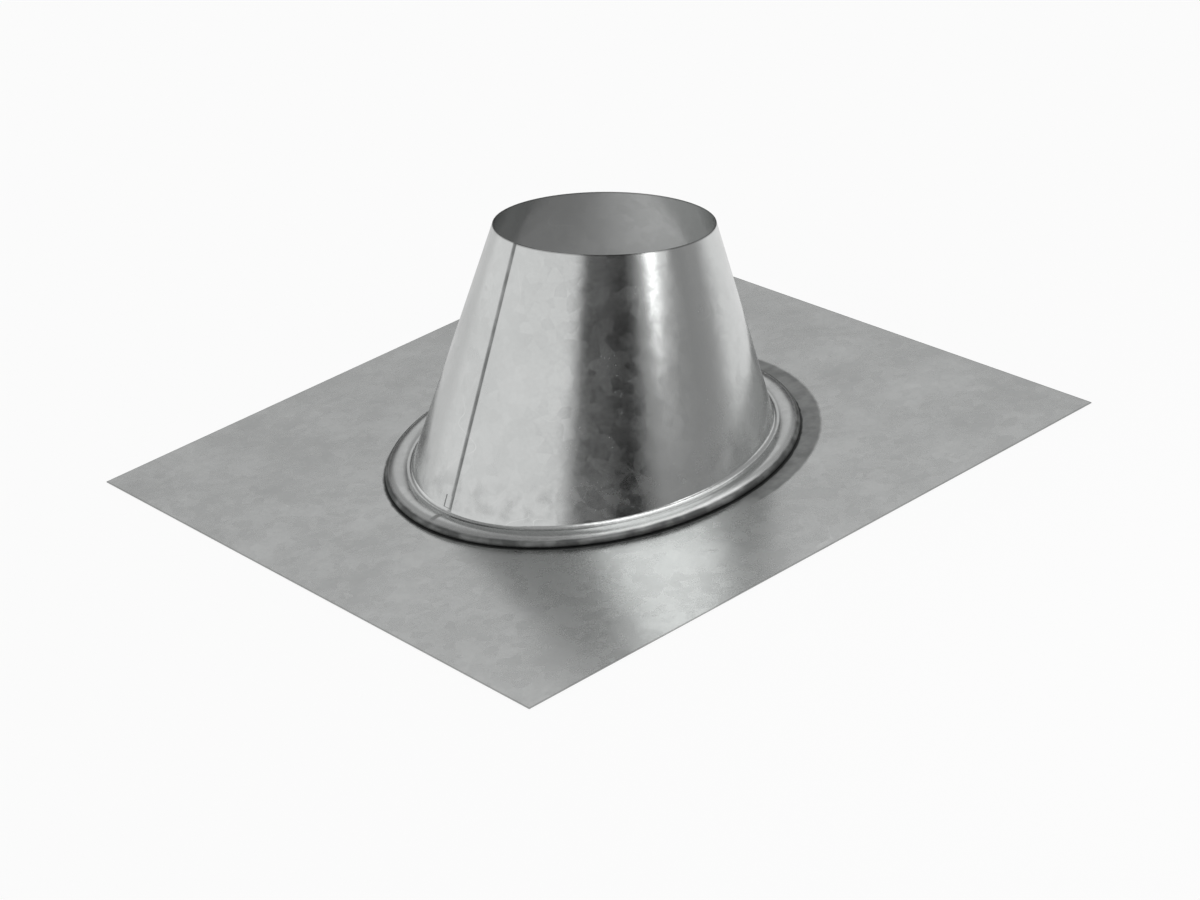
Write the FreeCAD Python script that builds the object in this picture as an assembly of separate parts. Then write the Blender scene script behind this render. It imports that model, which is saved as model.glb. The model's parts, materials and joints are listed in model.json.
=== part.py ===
import FreeCAD, Part
import math
import os

# Roof flashing for a vent pipe, folded and rolled from galvanised sheet steel. All sizes are in mm.
# Two pieces: a flat base plate with a curled collar, and a leaning cone locked over that collar.
# +Z is up from the roof deck, +Y is up the slope, the origin is the middle of the plate's underside.

V = FreeCAD.Vector

# Sheet
sheet = 0.55

# Base plate
plateLength = 406.0
plateWidth = 400.0

# Lock seam: the cone's hollow roll closed over the plate's curl, about one upright axis
seamX = 6.0
seamY = -0.5
rollRadius = 111.5      # seam axis to the middle of the roll
rollHalf = 7.3          # half the roll's width
shoulderBend = 2.3
shoulderTurn = 60.0     # degrees that each shoulder turns before the low crown takes over
crownEnd = 137.0        # angle at which the crown is buried in the wall
lipGap = 0.05           # rolled lip above the plate
lipBend = 1.8
lipReach = 1.6
curlGap = 0.15          # plate's curl inside the cone's roll
collarBend = 0.8
curlEnd = 0.3           # how far the curl's end comes below the shoulders
valleyBlend = 2.5       # between the wall and the roll
turnedStart = 140.0     # angle of the revolved start line, clear of the wall's own at +X
thickenTolerance = 0.001

# Wall of the cone
footRadius = 104.84
footZ = 1.5
topRadius = 62.1
topX = 10.0             # middle of the rim
topY = 29.3
topZ = 128.9
lean = 10.3             # tip of the rim's plane, in degrees
rimSpare = 0.3          # wall above the rim before it is cut level with the rim's plane

# Lap joint down the eave side: angles round the cone, and level offsets from the wall's outer face
lapEdge = -88.0
lapInnerEdge = -77.0
lapFade = -58.0
lapFootZ = 5.2
lapRise = 0.62          # one sheet, measured level across the sloping wall
lapShoulder = 1.3       # degrees over which the outer sheet comes up from the groove
grooveWide = 0.7        # degrees
grooveDepth = 0.3
bury = 0.1

# Pressed relief at the lap's lower corner
reliefWide = 2.4        # degrees
reliefDepth = 0.4
reliefLowZ = 6.2
reliefHighZ = 12.5

lipZ = sheet + lipGap
shoulderZ = lipZ + lipBend
rollEdge = rollRadius + rollHalf
grooveBottom = lapEdge - lapShoulder
grooveStart = grooveBottom - grooveWide
aboveTop = 2 * topZ
seamBase = V(seamX, seamY, 0)

# The crown's arc is tangent to both shoulders
shoulderCos = math.cos(math.radians(shoulderTurn))
shoulderSin = math.sin(math.radians(shoulderTurn))
crownRadius = (rollHalf - shoulderBend) / shoulderCos + shoulderBend
crownZ = shoulderZ + (shoulderBend - crownRadius) * shoulderSin

up = V(0, 0, 1)
tipped = FreeCAD.Rotation(V(1, 0, 0), -lean)
rimMiddle = V(topX, topY, topZ)


def sectionPoint(radius, height):
    # A point of the seam's section, by its distance from the seam axis.
    return V(seamX + radius, seamY, height)


def sectionLine(start, end):
    return Part.makeLine(sectionPoint(*start), sectionPoint(*end))


def onArc(centre, radius, degrees):
    # Distance from the seam axis and height of one point of a section's arc.
    turn = math.radians(degrees)
    return (centre[0] + radius * math.cos(turn), centre[1] + radius * math.sin(turn))


def sectionArc(centre, radius, first, last):
    # An arc of the section between two angles, level outwards being zero.
    points = [sectionPoint(*onArc(centre, radius, turn)) for turn in (first, (first + last) / 2, last)]
    return Part.Arc(*points).toShape()


def revolved(edges):
    # Turns a closed section about the seam axis.
    ring = Part.Face(Part.Wire(edges)).revolve(seamBase, up, 360)
    ring.rotate(seamBase, up, turnedStart)
    return ring


def atFoot(shape):
    shape.Placement = FreeCAD.Placement(V(seamX, seamY, footZ), FreeCAD.Rotation())
    return shape


def atTop(shape):
    spare = tipped.multVec(V(0, 0, rimSpare))
    shape.Placement = FreeCAD.Placement(rimMiddle + spare, tipped)
    return shape


def ringPoint(radius, degrees):
    turn = math.radians(degrees)
    return V(radius * math.cos(turn), radius * math.sin(turn), 0)


def ringArc(radiusA, first, radiusB, last):
    # Level arc whose radius may drift a little between its ends.
    middle = ringPoint((radiusA + radiusB) / 2, (first + last) / 2)
    return Part.Arc(ringPoint(radiusA, first), middle, ringPoint(radiusB, last)).toShape()


def wallBody():
    # Solid frustum between the level foot circle and the top circle tipped up the slope.
    foot = atFoot(Part.makeCircle(footRadius))
    top = atTop(Part.makeCircle(topRadius))
    return Part.makeLoft([Part.Wire(foot), Part.Wire(top)], True, True)


def rollBody():
    # Solid inside the outer face of the hollow roll, down to its turned-in lip.
    buried = onArc((rollRadius, crownZ), crownRadius, crownEnd)
    return revolved([
        sectionLine((0, lipZ), (rollEdge - lipBend, lipZ)),
        sectionArc((rollEdge - lipBend, shoulderZ), lipBend, -90, 0),
        sectionArc((rollEdge - shoulderBend, shoulderZ), shoulderBend, 0, shoulderTurn),
        sectionArc((rollRadius, crownZ), crownRadius, shoulderTurn, crownEnd),
        sectionLine(buried, (0, buried[1])),
        sectionLine((0, buried[1]), (0, lipZ)),
    ])


def valleyEdges(body):
    # The hollow corner where the wall meets the roll, inside the middle of the roll.
    highZ = crownZ + crownRadius
    return [e for e in body.Edges
            if e.BoundBox.ZMin > shoulderZ and e.BoundBox.ZMax < highZ
            and rollRadius < e.BoundBox.XLength < 2 * rollRadius]


def coneSheet():
    # The outer skin of wall, valley and roll, thickened inwards to one sheet.
    body = wallBody().fuse(rollBody())
    body = body.makeFillet(valleyBlend, valleyEdges(body))
    skin = [f for f in body.Faces if f.Surface.TypeId != "Part::GeomPlane"]
    return Part.Shell(skin).makeOffsetShape(-sheet, thickenTolerance, fill=True, join=0)


def lip():
    # Flat end of the roll, turned in under the plate's curl.
    outer = rollEdge - lipBend
    inner = outer - lipReach
    return revolved([
        sectionLine((inner, lipZ), (outer, lipZ)),
        sectionLine((outer, lipZ), (outer, lipZ + sheet)),
        sectionLine((outer, lipZ + sheet), (inner, lipZ + sheet)),
        sectionLine((inner, lipZ + sheet), (inner, lipZ)),
    ])


def wallStrip(corners, lowZ, highZ):
    # A strip of wall between two levels. Its outline runs through corners given as an angle and a
    # level offset from the wall's outer face, and keeps those from the foot circle to the top.
    def side(radius, start, end):
        first, last = start[0], end[0]
        radiusA, radiusB = radius + start[1], radius + end[1]
        if first == last:
            return Part.makeLine(ringPoint(radiusA, first), ringPoint(radiusB, last))
        return ringArc(radiusA, first, radiusB, last)

    def ring(radius):
        return Part.Wire([side(radius, *ends) for ends in zip(corners, corners[1:] + corners[:1])])

    strip = Part.makeLoft([atFoot(ring(footRadius)), atTop(ring(topRadius))], True, True)
    size = 2 * footRadius
    slab = Part.makeBox(size, size, highZ - lowZ, V(seamX - footRadius, seamY - footRadius, lowZ))
    return strip.common(slab)


def lapGroove():
    # Narrow channel pressed along the foot of the outer sheet's edge.
    clear = 2 * lapRise
    return wallStrip([
        (grooveStart, 0.0),
        (grooveBottom, -grooveDepth),
        (lapEdge, -grooveDepth),
        (lapEdge, clear),
        (grooveStart, clear),
    ], lapFootZ, aboveTop)


def lapOverSheet():
    # The outer layer of the lap: its rounded-up edge, and the stretch where it comes back down
    # to the plain wall.
    under = -grooveDepth - bury
    return wallStrip([
        (grooveBottom, under),
        (lapEdge, lapRise),
        (lapInnerEdge, lapRise),
        (lapFade, -bury / 2),
        (lapFade, -bury),
        (lapInnerEdge, -bury),
        (lapEdge, under),
    ], lapFootZ, aboveTop)


def lapUnderGap():
    # Inside, the under layer stops and the wall steps out by one sheet, then fades back.
    return wallStrip([
        (lapInnerEdge, 0.0),
        (lapFade, -lapRise - bury / 2),
        (lapFade, -3 * lapRise),
        (lapInnerEdge, -3 * lapRise),
    ], lapFootZ, aboveTop)


def relief():
    # Shallow pressed mark beside the lap's lower corner.
    first = grooveStart - reliefWide
    clear = 2 * lapRise
    return wallStrip([
        (first, -reliefDepth),
        (grooveBottom, -reliefDepth),
        (grooveBottom, clear),
        (first, clear),
    ], reliefLowZ, reliefHighZ)


def aboveRim():
    # Everything over the plane of the rim.
    size = 4 * topRadius
    block = Part.makeBox(size, size, size, V(-size / 2, -size / 2, 0))
    block.Placement = FreeCAD.Placement(rimMiddle, tipped)
    return block


def cone():
    body = coneSheet().fuse(lip()).cut(lapGroove()).fuse(lapOverSheet())
    return body.cut(lapUnderGap()).cut(relief()).cut(aboveRim())


def curlSkin(inset):
    # The roll's shape over its two shoulders and crown, set in by some depth, from outside to inside.
    shoulder = shoulderBend - inset
    crown = (rollRadius, crownZ)
    return [
        sectionArc((rollEdge - shoulderBend, shoulderZ), shoulder, 0, shoulderTurn),
        sectionArc(crown, crownRadius - inset, shoulderTurn, 180 - shoulderTurn),
        sectionArc((rollRadius - rollHalf + shoulderBend, shoulderZ), shoulder, 180 - shoulderTurn, 180),
    ]


def basePlate():
    # Flat sheet whose round hole is turned up into a collar and curled outwards inside the roll.
    outerInset = sheet + curlGap
    innerInset = outerInset + sheet
    collarFace = rollRadius - rollHalf + outerInset
    collarBack = collarFace + sheet
    bendRadius = collarBack + collarBend
    bendZ = sheet + collarBend
    endZ = shoulderZ - curlEnd
    flat = Part.makeBox(plateLength, plateWidth, sheet, V(-plateLength / 2, -plateWidth / 2, 0))
    hole = Part.makeCylinder(bendRadius, 3 * sheet, seamBase - V(0, 0, sheet))
    collar = revolved(curlSkin(outerInset) + [
        sectionLine((collarFace, shoulderZ), (collarFace, bendZ)),
        sectionArc((bendRadius, bendZ), collarBend + sheet, -180, -90),
        sectionLine((bendRadius, 0), (bendRadius, sheet)),
        sectionArc((bendRadius, bendZ), collarBend, -90, -180),
        sectionLine((collarBack, bendZ), (collarBack, shoulderZ)),
    ] + curlSkin(innerInset)[::-1] + [
        sectionLine((rollEdge - innerInset, shoulderZ), (rollEdge - innerInset, endZ)),
        sectionLine((rollEdge - innerInset, endZ), (rollEdge - outerInset, endZ)),
        sectionLine((rollEdge - outerInset, endZ), (rollEdge - outerInset, shoulderZ)),
    ])
    return flat.cut(hole).fuse(collar)


os.makedirs("parts", exist_ok=True)
basePlate().exportStep("parts/base_plate.step")
cone().exportStep("parts/cone.step")
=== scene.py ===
import bpy, json, math
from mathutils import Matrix, Quaternion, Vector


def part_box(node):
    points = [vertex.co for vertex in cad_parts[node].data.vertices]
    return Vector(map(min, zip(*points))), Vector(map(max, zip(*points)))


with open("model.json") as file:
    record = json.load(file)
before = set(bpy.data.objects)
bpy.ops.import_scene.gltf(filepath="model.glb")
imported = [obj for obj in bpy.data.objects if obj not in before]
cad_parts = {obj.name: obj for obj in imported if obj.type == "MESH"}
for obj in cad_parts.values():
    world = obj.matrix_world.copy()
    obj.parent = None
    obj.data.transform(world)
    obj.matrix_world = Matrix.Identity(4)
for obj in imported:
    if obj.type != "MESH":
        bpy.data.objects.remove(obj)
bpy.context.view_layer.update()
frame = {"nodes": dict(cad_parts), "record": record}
nodes = frame["nodes"]
print("frame loaded:", ", ".join(sorted(nodes)))

# the roll of the seam is the widest part of the cone, so the cone's box gives its circle
coneLow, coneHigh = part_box("cone")
plateLow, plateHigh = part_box("base_plate")
seamCentre = ((coneLow[0] + coneHigh[0]) / 2, (coneLow[1] + coneHigh[1]) / 2, 0)
seamRadius = (coneHigh[0] - coneLow[0]) / 2


# helpers that build shader nodes
def addNode(tree, kind, sockets=None, **settings):
    node = tree.nodes.new(kind)
    for name, value in settings.items():
        setattr(node, name, value)
    for name, value in (sockets or {}).items():
        if isinstance(value, bpy.types.NodeSocket):
            tree.links.new(value, node.inputs[name])
        else:
            node.inputs[name].default_value = value
    return node


def newMaterial(name):
    material = bpy.data.materials.new(name)
    material.use_nodes = True
    material.node_tree.nodes.clear()
    return material, material.node_tree


def doMath(tree, operation, first, second=0.0, third=0.0):
    sockets = {0: first, 1: second, 2: third}
    return addNode(tree, "ShaderNodeMath", sockets, operation=operation).outputs[0]


def doVector(tree, operation, first, second=(0, 0, 0)):
    return addNode(tree, "ShaderNodeVectorMath", {0: first, 1: second}, operation=operation)


def fade(tree, value, start, end, low=0.0, high=1.0):
    # low up to start, high from end on, with a soft change between them
    return addNode(tree, "ShaderNodeMapRange", {0: value, 1: start, 2: end, 3: low, 4: high},
                   interpolation_type="SMOOTHSTEP").outputs[0]


def band(tree, value, centre, half, soft):
    # one inside centre +- half, zero past the soft border
    away = doMath(tree, "ABSOLUTE", doMath(tree, "SUBTRACT", value, centre))
    return fade(tree, away, half, half + soft, 1.0, 0.0)


def mixNumber(tree, amount, first, second):
    sockets = {0: amount, 2: first, 3: second}
    return addNode(tree, "ShaderNodeMix", sockets, data_type="FLOAT").outputs[0]


def noise(tree, vector, size, detail=2.0, roughness=0.5):
    sockets = {"Vector": vector, "Scale": 1 / size, "Detail": detail, "Roughness": roughness}
    return addNode(tree, "ShaderNodeTexNoise", sockets).outputs[0]


def blend(tree, amount, first, second):
    sockets = {0: amount, 6: first, 7: second}
    return addNode(tree, "ShaderNodeMix", sockets, data_type="RGBA").outputs[2]


def bumpOn(tree, height, distance, normal=None):
    sockets = {"Height": height, "Distance": distance, "Strength": 1.0}
    if normal is not None:
        sockets["Normal"] = normal
    return addNode(tree, "ShaderNodeBump", sockets).outputs[0]


# zinc-coated sheet, shared by both pieces
zinc = {
    "pale": (0.665, 0.675, 0.67, 1),
    "dull": (0.53, 0.54, 0.535, 1),
    "roughLow": 0.14,
    "roughHigh": 0.25,
    "cloudSize": 0.045,         # soft clouds in the coating
    "spangleSize": 0.0065,      # zinc crystals
    "grainLength": 0.030,       # rolling lines along the sheet
    "grainWidth": 0.0004,
    "panSize": 0.11,            # gentle waves of a thin flat sheet
    "panDepth": 0.0012,
    "rippleSize": 0.018,        # shallow ripples of handling, seen as mottles in the reflections
    "rippleDepth": 0.00010,
    "grainDepth": 0.0000025,
    "crystalTilt": 0.010,
    # dark colour for dirt, and for painted shade and shadow round the seam and along the lap
    "shadeAndDirtColour": (0.030, 0.032, 0.031, 1),
    "edgeColour": (0.30, 0.305, 0.30, 1),
    "edgeWidth": 0.0009,
    "scratchColour": (0.80, 0.81, 0.80, 1),
    "cloudShare": 0.62,         # what clouds, crystals and fine grain each add to the dullness
    "crystalShare": 0.16,
    "fineShare": 0.22,
    "dullFrom": 0.25,           # dullness at which the sheet is at its smoothest and its roughest
    "dullTo": 0.75,
    "markSize": 0.05,           # thin handling marks
    "markWidth": 0.0012,
    "markBreaks": 0.7,          # size of their breaks, as a share of theirs
    "markKeep": 0.58,
    "markSoft": 0.05,
    "markStrength": 0.5,
    "grainRough": 0.05,         # roughness added by the rolling lines, and by dirt and painted shade
    "shadeAndDirtRough": 0.45,
}


def coating(tree, spot, look):
    # clouds, crystals and their share of dullness, from 0 (bright) to 1 (dull)
    clouds = noise(tree, spot, look["cloudSize"], 3)
    crystals = addNode(tree, "ShaderNodeTexVoronoi",
                       {"Vector": spot, "Scale": 1 / look["spangleSize"]})
    facet = addNode(tree, "ShaderNodeSeparateColor", {0: crystals.outputs["Color"]}).outputs[0]
    fine = noise(tree, spot, look["spangleSize"] / 3, 2)
    share = doMath(tree, "ADD", doMath(tree, "MULTIPLY", clouds, look["cloudShare"]),
                   doMath(tree, "MULTIPLY", facet, look["crystalShare"]))
    share = doMath(tree, "ADD", share, doMath(tree, "MULTIPLY", fine, look["fineShare"]))
    return share, crystals.outputs["Color"]


def marks(tree, spot, look):
    # thin broken lines, as left by handling: where a noise crosses its middle value
    line = noise(tree, spot, look["markSize"], 1)
    thin = band(tree, line, 0.5, 0.0, look["markWidth"])
    patch = fade(tree, noise(tree, spot, look["markSize"] * look["markBreaks"], 0),
                 look["markKeep"], look["markKeep"] + look["markSoft"])
    return doMath(tree, "MULTIPLY", thin, patch)


def zincMaterial(name, look, duller, grainSpot, shadeAndDirtOf, edgeOf):
    material, tree = newMaterial(name)
    spot = addNode(tree, "ShaderNodeTexCoord").outputs["Object"]
    dullness, crystals = coating(tree, spot, look)
    grain = noise(tree, grainSpot(tree, spot, look), 1.0, 2)
    scratch = marks(tree, spot, look)
    shadeAndDirt = shadeAndDirtOf(tree, spot)
    edge = edgeOf(tree, spot)

    colour = blend(tree, dullness, look["pale"], look["dull"])
    scratch = doMath(tree, "MULTIPLY", scratch, look["markStrength"])
    colour = blend(tree, scratch, colour, look["scratchColour"])
    colour = blend(tree, edge, colour, look["edgeColour"])
    # dirt, and painted shade and shadow, darken the sheet here
    colour = blend(tree, shadeAndDirt, colour, look["shadeAndDirtColour"])

    rough = fade(tree, dullness, look["dullFrom"], look["dullTo"],
                 look["roughLow"] + duller, look["roughHigh"] + duller)
    rough = doMath(tree, "ADD", rough, doMath(tree, "MULTIPLY", grain, look["grainRough"]))
    rough = doMath(tree, "ADD", rough, doMath(tree, "MULTIPLY", shadeAndDirt, look["shadeAndDirtRough"]))

    normal = bumpOn(tree, noise(tree, spot, look["panSize"], 1), look["panDepth"])
    normal = bumpOn(tree, noise(tree, spot, look["rippleSize"], 1), look["rippleDepth"], normal)
    normal = bumpOn(tree, grain, look["grainDepth"], normal)
    tilt = doVector(tree, "SUBTRACT", crystals, (0.5, 0.5, 0.5)).outputs[0]
    tilt = addNode(tree, "ShaderNodeVectorMath", {0: tilt, "Scale": look["crystalTilt"]},
                   operation="SCALE").outputs[0]
    normal = doVector(tree, "NORMALIZE", doVector(tree, "ADD", normal, tilt).outputs[0]).outputs[0]

    shader = addNode(tree, "ShaderNodeBsdfPrincipled", {
        "Base Color": colour,
        "Metallic": 1.0,
        "Roughness": rough,
        "Normal": normal,
    })
    addNode(tree, "ShaderNodeOutputMaterial", {0: shader.outputs[0]})
    return material


def fromSeamAxis(tree, spot):
    away = doVector(tree, "SUBTRACT", spot, seamCentre).outputs[0]
    flat = doVector(tree, "MULTIPLY", away, (1, 1, 0))
    return doVector(tree, "LENGTH", flat.outputs[0]).outputs[1]


# base plate: rolled along its length, dirt and painted shade in the crevice under the roll, and a
# painted shadow beside the seam
plateLook = {
    "duller": 0.045,            # added roughness of the flat sheet
    "creviceOut": 0.0018,       # how far the dirt and painted shade reach out past the roll
    "shadowOut": 0.0118,         # painted shadow of the cone and roll: a dull arc beside the right half of the seam
    "shadowSoftIn": 0.0008,      # its border, either side of its reach
    "shadowSoftOut": 0.0014,
    "shadowMiddle": 50,          # its middle, half length and soft ends, in degrees round the seam
    "shadowHalf": 42,
    "shadowSoft": 9,
    "shadowStrength": 0.56,
    "patchSize": 0.010,         # how uneven it is
    "patchFrom": 0.3,
    "patchTo": 0.7,
    "patchLow": 0.8,
    "patchHigh": 1.1,
    "creviceStrength": 0.92,
    "raggedSize": 0.006,        # unevenness of both borders
    "raggedDepth": 0.0012,
    "edgeStrength": 0.8,
}


def plateGrain(tree, spot, look):
    stretch = (1 / look["grainLength"], 1 / look["grainWidth"], 1)
    return doVector(tree, "MULTIPLY", spot, stretch).outputs[0]


def plateShadeAndDirt(tree, spot):
    reach = fromSeamAxis(tree, spot)
    ragged = doMath(tree, "MULTIPLY", noise(tree, spot, plateLook["raggedSize"], 2),
                    plateLook["raggedDepth"])
    # painted shade, with dirt, in the crevice just outside the roll
    creviceShadeAndDirt = fade(tree, doMath(tree, "SUBTRACT", reach, ragged), seamRadius,
                   seamRadius + plateLook["creviceOut"], plateLook["creviceStrength"], 0.0)
    # the painted shadow arc: within its reach of the roll, and within its share of the circle
    away = doVector(tree, "SUBTRACT", spot, seamCentre).outputs[0]
    split = addNode(tree, "ShaderNodeSeparateXYZ", {0: away}).outputs
    turn = doMath(tree, "DEGREES", doMath(tree, "ARCTAN2", split[1], split[0]))
    edge = seamRadius + plateLook["shadowOut"]
    wide = fade(tree, doMath(tree, "ADD", reach, ragged), edge - plateLook["shadowSoftIn"],
                edge + plateLook["shadowSoftOut"], 1.0, 0.0)
    along = band(tree, doMath(tree, "SUBTRACT", turn, plateLook["shadowMiddle"]), 0,
                 plateLook["shadowHalf"], plateLook["shadowSoft"])
    patchy = fade(tree, noise(tree, spot, plateLook["patchSize"], 3), plateLook["patchFrom"],
                  plateLook["patchTo"], plateLook["patchLow"], plateLook["patchHigh"])
    paintedShadow = doMath(tree, "MULTIPLY", doMath(tree, "MULTIPLY", wide, along), patchy)
    paintedShadow = doMath(tree, "MULTIPLY", paintedShadow, plateLook["shadowStrength"])
    return doMath(tree, "MAXIMUM", creviceShadeAndDirt, paintedShadow)


def plateEdge(tree, spot):
    middle = [(low + high) / 2 for low, high in zip(plateLow, plateHigh)]
    half = [(high - low) / 2 for low, high in zip(plateLow, plateHigh)]
    away = doVector(tree, "ABSOLUTE", doVector(tree, "SUBTRACT", spot, middle).outputs[0])
    split = addNode(tree, "ShaderNodeSeparateXYZ", {0: away.outputs[0]})
    sides = [fade(tree, split.outputs[i], half[i] - zinc["edgeWidth"], half[i]) for i in (0, 1)]
    return doMath(tree, "MULTIPLY", doMath(tree, "MAXIMUM", *sides), plateLook["edgeStrength"])


# cone: rolling lines run up the wall, the lap shows as a line of painted shade with dirt up its
# eave side
coneLook = {
    "lapFoot": 0.00366,         # lap line from the seam axis, across the slope
    "lapLean": 0.0181,          # how far it drifts for each metre up
    "eaveFrom": 0.002,          # only on the eave side of the seam axis
    "eaveTo": 0.004,
    "lapShadeAndDirt": 0.0034,          # width of its painted shade and dirt
    "lapStrength": 0.62,
    "lapFrom": 0.0045,          # heights over which it starts, above the roll
    "lapTo": 0.0065,
    "shoulderShadeAndDirt": 0.0036,     # how far painted shade and dirt reach in over the roll's outer shoulder
    "shoulderStrength": 0.85,
    "shoulderClearAbove": 0.006,     # none above this height, full below the next
    "shoulderDarkBelow": 0.005,
    "raggedSize": 0.008,
    "raggedDepth": 0.0010,
    "brokenSize": 0.012,        # how uneven the dirt and painted shade are
    "brokenFrom": 0.3,
    "brokenTo": 0.6,
    "brokenLow": 0.75,
    "splashSize": 0.010,        # blotches low on the wall
    "blotchFrom": 0.42,
    "blotchTo": 0.68,
    "splashMiddle": 0.012,      # its height, half height and soft border
    "splashHalf": 0.004,
    "splashSoft": 0.016,
    "splashFrom": 0.006,        # none on the roll
    "splashTo": 0.008,
    "splashStrength": 0.14,
    "rimSoft": 0.0002,
    "rimStrength": 0.8,
}


def coneGrain(tree, spot, look):
    stretch = (1 / look["grainWidth"], 1 / look["grainWidth"], 1 / look["grainLength"])
    return doVector(tree, "MULTIPLY", spot, stretch).outputs[0]


def lapDistance(tree, spot):
    # distance across the lap line, positive towards the outer sheet
    split = addNode(tree, "ShaderNodeSeparateXYZ", {0: spot})
    drift = doMath(tree, "MULTIPLY_ADD", split.outputs[2], coneLook["lapLean"],
                   seamCentre[0] + coneLook["lapFoot"])
    eave = fade(tree, split.outputs[1], seamCentre[1] - coneLook["eaveFrom"],
                seamCentre[1] - coneLook["eaveTo"])
    return doMath(tree, "SUBTRACT", split.outputs[0], drift), eave


def coneShadeAndDirt(tree, spot):
    across, eave = lapDistance(tree, spot)
    height = addNode(tree, "ShaderNodeSeparateXYZ", {0: spot}).outputs[2]
    # painted shade of the lap's edge, with dirt, along the lap line
    line = band(tree, across, -coneLook["lapShadeAndDirt"] / 2, coneLook["lapShadeAndDirt"] / 4,
                coneLook["lapShadeAndDirt"] / 2)
    rising = fade(tree, height, coneLook["lapFrom"], coneLook["lapTo"],
                  0.0, coneLook["lapStrength"])
    line = doMath(tree, "MULTIPLY", line, rising)
    line = doMath(tree, "MULTIPLY", line, eave)
    # painted shade, with dirt, on the outer shoulder of the roll down by the plate
    ragged = doMath(tree, "MULTIPLY", noise(tree, spot, coneLook["raggedSize"], 2),
                    coneLook["raggedDepth"])
    reach = doMath(tree, "SUBTRACT", fromSeamAxis(tree, spot), ragged)
    shoulder = fade(tree, reach, seamRadius - coneLook["shoulderShadeAndDirt"],
                    seamRadius - coneLook["shoulderShadeAndDirt"] / 2, 0.0, coneLook["shoulderStrength"])
    low = fade(tree, height, coneLook["shoulderClearAbove"], coneLook["shoulderDarkBelow"])
    shoulder = doMath(tree, "MULTIPLY", shoulder, low)
    broken = fade(tree, noise(tree, spot, coneLook["brokenSize"], 3), coneLook["brokenFrom"],
                  coneLook["brokenTo"], coneLook["brokenLow"], 1.0)
    worst = doMath(tree, "MULTIPLY", doMath(tree, "MAXIMUM", line, shoulder), broken)
    # and dirt in faint blotches low on the wall
    splash = fade(tree, noise(tree, spot, coneLook["splashSize"], 3), coneLook["blotchFrom"],
                  coneLook["blotchTo"], 0.0, coneLook["splashStrength"])
    reached = band(tree, height, coneLook["splashMiddle"], coneLook["splashHalf"],
                   coneLook["splashSoft"])
    splash = doMath(tree, "MULTIPLY", splash, reached)
    overRoll = fade(tree, height, coneLook["splashFrom"], coneLook["splashTo"])
    splash = doMath(tree, "MULTIPLY", splash, overRoll)
    return doMath(tree, "MAXIMUM", worst, splash)


def coneEdge(tree, spot):
    # the cut rim lies in a plane tipped up the slope, so it is measured square to that plane
    rim = frame["record"]["mounts"][1]
    square = Vector(rim["axis"]).normalized()
    level = Vector(rim["pos_m"]).dot(square)
    up = doVector(tree, "DOT_PRODUCT", spot, square).outputs[1]
    return fade(tree, up, level - zinc["edgeWidth"], level - coneLook["rimSoft"],
                0.0, coneLook["rimStrength"])


finishes = {
    "base_plate": zincMaterial("zincPlate", zinc, plateLook["duller"], plateGrain, plateShadeAndDirt,
                               plateEdge),
    "cone": zincMaterial("zincCone", zinc, 0, coneGrain, coneShadeAndDirt, coneEdge),
}
for name, finish in finishes.items():
    nodes[name].data.materials.clear()
    nodes[name].data.materials.append(finish)
print("zinc on the sheet metal")

# floor, light and camera
studio = {
    "floorColour": (0.93, 0.93, 0.93, 1),
    "floorSize": 12.0,
    "floorGlow": 0.88,          # share of the floor that shows as plain white
    "floorDrop": 0.0005,        # just under the plate
    "shadeFrom": (0.21, 0, 0),  # painted shade: the floor glows less in the metal's reflections over a stretch to the right, from here
    "wedge": (25, 38, 76),      # its middle, and the angles off it where it begins and stops fading
    "wedgeShades": (0.30, 0.95),
    "farLeft": (120, 175),      # and slightly less over a stretch far left
    "leftShades": (1.0, 0.76),
    "fallsTo": (-0.5, -0.87, 0),    # where light that comes in at the top lands under the cone
    "underReach": (-0.06, 0.09),
    "underShades": (0.25, 0.68),
    "underBorder": 0.012,
    "roomShade": 0.42,
    "cameraPlace": (1.37959, -0.95127, 0.82812),
    "cameraAim": (-0.735037, 0.511291, -0.445311),
    "cameraRoll": -9.35,
    "lens": 98.55,
}

# soft-edged cards round the room, each laid over those before it:
# compass angle, elevation (each as middle, half width, soft border, in degrees) and shade
cards = {
    "leftWall": ((-118, 54, 9), (8, 18, 16), 0.95),
    "rightWall": ((18, 26, 10), (2, 7, 8), 0.31),
    "darkGap": ((-33, 21, 9), (5, 14, 22), 0.0),
    "underGap": ((-46, 10, 8), (4, 7, 7), 0.6),
    "farRight": ((92, 18, 12), (0, 6, 8), 0.96),
    "darkBack": ((145, 27, 6), (6, 13, 5), 0.12),
    "farBack": ((180, 11.5, 2), (0, 5, 2), 0.96),
    "backWall": ((144, 11, 8), (29, 6, 4), 0.72),
    "ceilingLight": ((6, 50, 26), (77, 22, 12), 2.0),
    "backLight": ((122, 25, 8), (64, 12, 8), 1.4),
    "darkAbove": ((178, 19, 8), (64, 12, 10), 0.28),
}

# compass angle, elevation, distance, size and power of each lamp, all aimed at lampAim
lamps = {
    "stripLamp": (10, 18.8, 0.62, (0.11, 0.14), 0.12),
    "softLamp": (22, 17.5, 0.62, (0.16, 0.14), 0.05),
}
lampAim = Vector((0, 0, 0.06))


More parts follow.
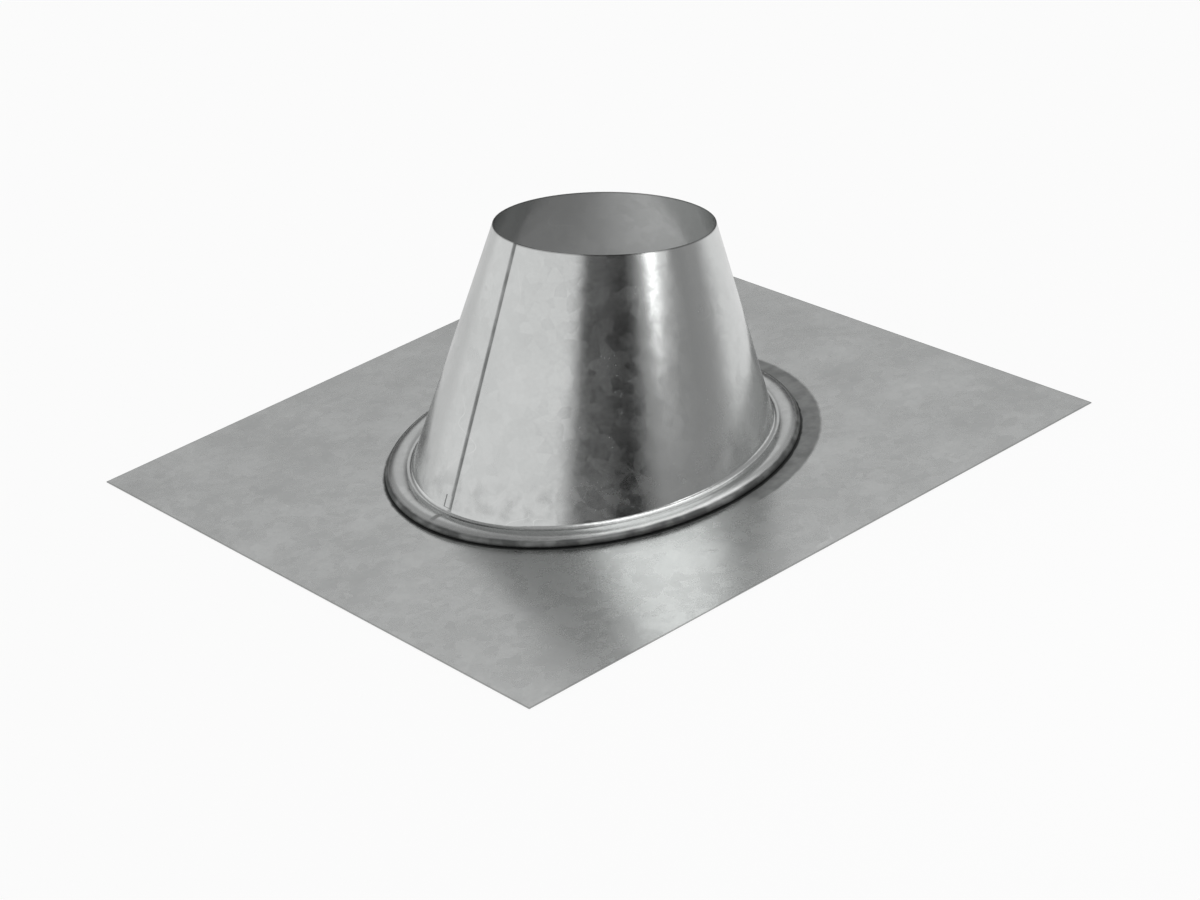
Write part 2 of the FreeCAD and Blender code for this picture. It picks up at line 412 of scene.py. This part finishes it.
def floorShade(tree, spot):
    # what the floor gives back to the metal: less from a wedge on the right, a little less far
    # left, and under the cone only what falls in at the top, which lands on the eave side
    away = doVector(tree, "SUBTRACT", spot, studio["shadeFrom"])
    way = addNode(tree, "ShaderNodeSeparateXYZ", {0: away.outputs[0]}).outputs
    turn = doMath(tree, "DEGREES", doMath(tree, "ARCTAN2", way[1], way[0]))
    middle, *wedgeEnds = studio["wedge"]
    off = doMath(tree, "ABSOLUTE", doMath(tree, "SUBTRACT", turn, middle))
    wedge = fade(tree, off, *wedgeEnds, *studio["wedgeShades"])
    left = fade(tree, doMath(tree, "ABSOLUTE", turn), *studio["farLeft"], *studio["leftShades"])
    towards = doVector(tree, "DOT_PRODUCT", spot, studio["fallsTo"]).outputs[1]
    under = fade(tree, towards, *studio["underReach"], *studio["underShades"])
    outside = fade(tree, fromSeamAxis(tree, spot), seamRadius - studio["underBorder"], seamRadius)
    return mixNumber(tree, outside, under, doMath(tree, "MULTIPLY", wedge, left)), outside


def buildFloor(look):
    bpy.ops.mesh.primitive_plane_add(size=look["floorSize"], location=(0, 0, -look["floorDrop"]))
    floor = bpy.context.object
    floor.name = "floor"
    material, tree = newMaterial("whiteFloor")
    path = addNode(tree, "ShaderNodeLightPath").outputs
    spot = addNode(tree, "ShaderNodeTexCoord").outputs["Object"]
    shade, outside = floorShade(tree, spot)
    seen = doMath(tree, "MULTIPLY", path["Is Camera Ray"], outside)
    for ray in ("Is Glossy Ray", "Is Transmission Ray"):
        seen = doMath(tree, "MAXIMUM", seen, path[ray])
    seen = doMath(tree, "MULTIPLY", seen, look["floorGlow"])
    matt = addNode(tree, "ShaderNodeBsdfDiffuse", {0: look["floorColour"]})
    strength = mixNumber(tree, path["Is Glossy Ray"], 1.0, shade)
    glow = addNode(tree, "ShaderNodeEmission", {1: strength})
    mix = addNode(tree, "ShaderNodeMixShader", {0: seen, 1: matt.outputs[0], 2: glow.outputs[0]})
    addNode(tree, "ShaderNodeOutputMaterial", {0: mix.outputs[0]})
    floor.data.materials.append(material)


def buildWorld(look):
    world = bpy.data.worlds.new("studioRoom")
    bpy.context.scene.world = world
    world.use_nodes = True
    tree = world.node_tree
    tree.nodes.clear()
    place = addNode(tree, "ShaderNodeTexCoord").outputs["Generated"]
    way = addNode(tree, "ShaderNodeSeparateXYZ", {0: place}).outputs
    azimuth = doMath(tree, "DEGREES", doMath(tree, "ARCTAN2", way[1], way[0]))
    elevation = doMath(tree, "DEGREES", doMath(tree, "ARCSINE", way[2]))
    whole = look["roomShade"]
    for across, upward, shade in cards.values():
        aside = doMath(tree, "WRAP", doMath(tree, "SUBTRACT", azimuth, across[0]), 180, -180)
        mask = doMath(tree, "MULTIPLY", band(tree, aside, 0, *across[1:]),
                      band(tree, elevation, *upward))
        whole = mixNumber(tree, mask, whole, shade)
    light = addNode(tree, "ShaderNodeBackground", {0: whole})
    addNode(tree, "ShaderNodeOutputWorld", {0: light.outputs[0]})


def buildLamp(name, azimuth, elevation, distance, size, power):
    a, e = math.radians(azimuth), math.radians(elevation)
    way = Vector((math.cos(e) * math.cos(a), math.cos(e) * math.sin(a), math.sin(e)))
    data = bpy.data.lights.new(name, "AREA")
    data.shape = "RECTANGLE"
    data.size, data.size_y = size
    data.energy = power
    lamp = bpy.data.objects.new(name, data)
    bpy.context.scene.collection.objects.link(lamp)
    lamp.location = way * distance + lampAim
    lamp.rotation_mode = "QUATERNION"
    lamp.rotation_quaternion = way.to_track_quat("Z", "Y")


def buildCamera(look):
    data = bpy.data.cameras.new("camera")
    camera = bpy.data.objects.new("camera", data)
    bpy.context.scene.collection.objects.link(camera)
    data.lens = look["lens"]
    data.sensor_width = 36
    camera.location = look["cameraPlace"]
    aim = Vector(look["cameraAim"])
    turn = aim.to_track_quat("-Z", "Y") @ Quaternion((0, 0, 1), math.radians(look["cameraRoll"]))
    camera.rotation_mode = "QUATERNION"
    camera.rotation_quaternion = turn
    bpy.context.scene.camera = camera


bpy.ops.object.select_all(action="DESELECT")
buildFloor(studio)
buildCamera(studio)
buildWorld(studio)
for name, lamp in lamps.items():
    buildLamp(name, *lamp)
bpy.context.scene.view_settings.view_transform = "Standard"
print("stage set")
